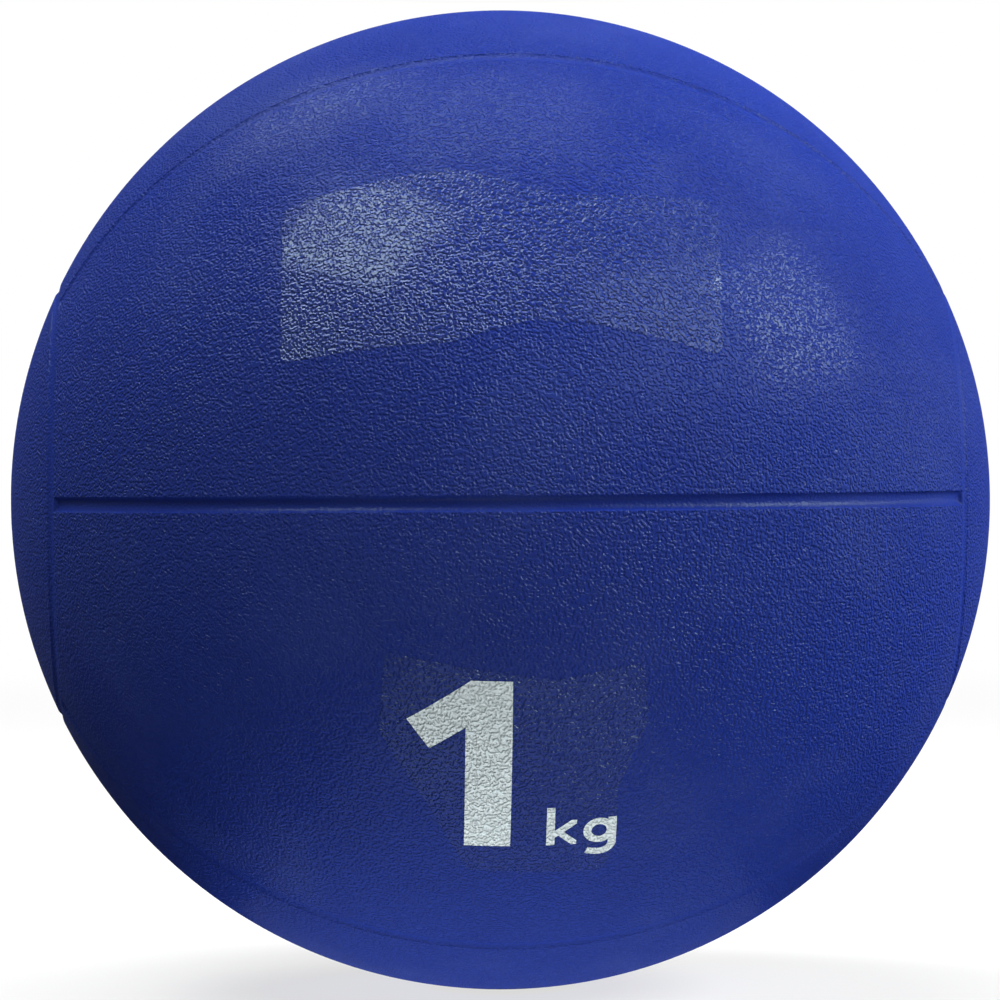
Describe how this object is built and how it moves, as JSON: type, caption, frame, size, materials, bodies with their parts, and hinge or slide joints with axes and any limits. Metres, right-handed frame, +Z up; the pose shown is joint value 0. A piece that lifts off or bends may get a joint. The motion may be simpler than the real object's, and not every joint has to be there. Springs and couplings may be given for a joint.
{
  "type": "medicine ball",
  "caption": "Hollow rubber exercise ball with a grained cover of long panels and two round end caps, smooth grooves between them, and a needle valve at one pole.",
  "frame": {"origin": "the ball's centre", "axes": "+X runs through the middles of the end caps, to the valve; -Y is the printed front; +Z is up, with the weight mark upright below the front groove"},
  "size_m": [0.1899, 0.19, 0.19],
  "materials": {
    "cover_rubber": "royal blue moulded rubber, leather grain, semi-matt",
    "weight_rubber": "black filled rubber, matt",
    "winding_yarn": "latex-soaked nylon yarn",
    "bladder_rubber": "black butyl rubber, satin",
    "valve_rubber": "black soft rubber, satin",
    "transfer_film": "clear film over blue rubber, glossier than the cover",
    "mark_ink": "pale ink under the film, grained with the cover"
  },
  "bodies": {
    "root": {"cover_panel_1": "cover_rubber", "cover_panel_2": "cover_rubber", "cover_panel_3": "cover_rubber", "cover_panel_4": "cover_rubber", "cover_panel_5": "cover_rubber", "cover_panel_6": "cover_rubber", "end_cap_valve_side": "cover_rubber", "end_cap_far_side": "cover_rubber", "weight_layer_valve_half": "weight_rubber", "weight_layer_far_half": "weight_rubber", "yarn_winding": "winding_yarn", "bladder": "bladder_rubber", "valve_housing": "valve_rubber", "valve_core": "valve_rubber", "upper_film": "transfer_film", "lower_film": "transfer_film", "mark_digit_1": "mark_ink", "mark_letter_k": "mark_ink", "mark_letter_g": "mark_ink"}
  },
  "joints": []
}
